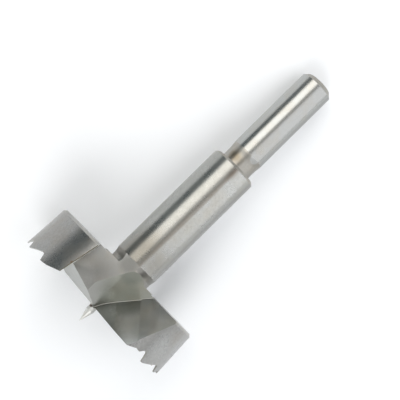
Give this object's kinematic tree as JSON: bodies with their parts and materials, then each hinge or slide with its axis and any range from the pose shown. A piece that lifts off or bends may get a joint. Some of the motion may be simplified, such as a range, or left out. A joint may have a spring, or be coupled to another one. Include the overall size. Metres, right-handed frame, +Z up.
{
  "type": "forstner bit",
  "caption": "Saw-tooth forstner bit with a brad point, two chip gullets, a stepped neck and a plain round shank, for flat-bottomed holes in wood.",
  "frame": {"origin": "centre of the footprint on the table the bit lies on", "axes": "+Z up from the table, +X along the bit's length towards the shank end, +Y across it, so that the frame is right-handed"},
  "size_m": [0.0916, 0.05, 0.045],
  "materials": {
    "tool_steel": "turned, milled and ground, unplated"
  },
  "bodies": {
    "root": {"forstner_bit": "tool_steel"}
  },
  "joints": []
}
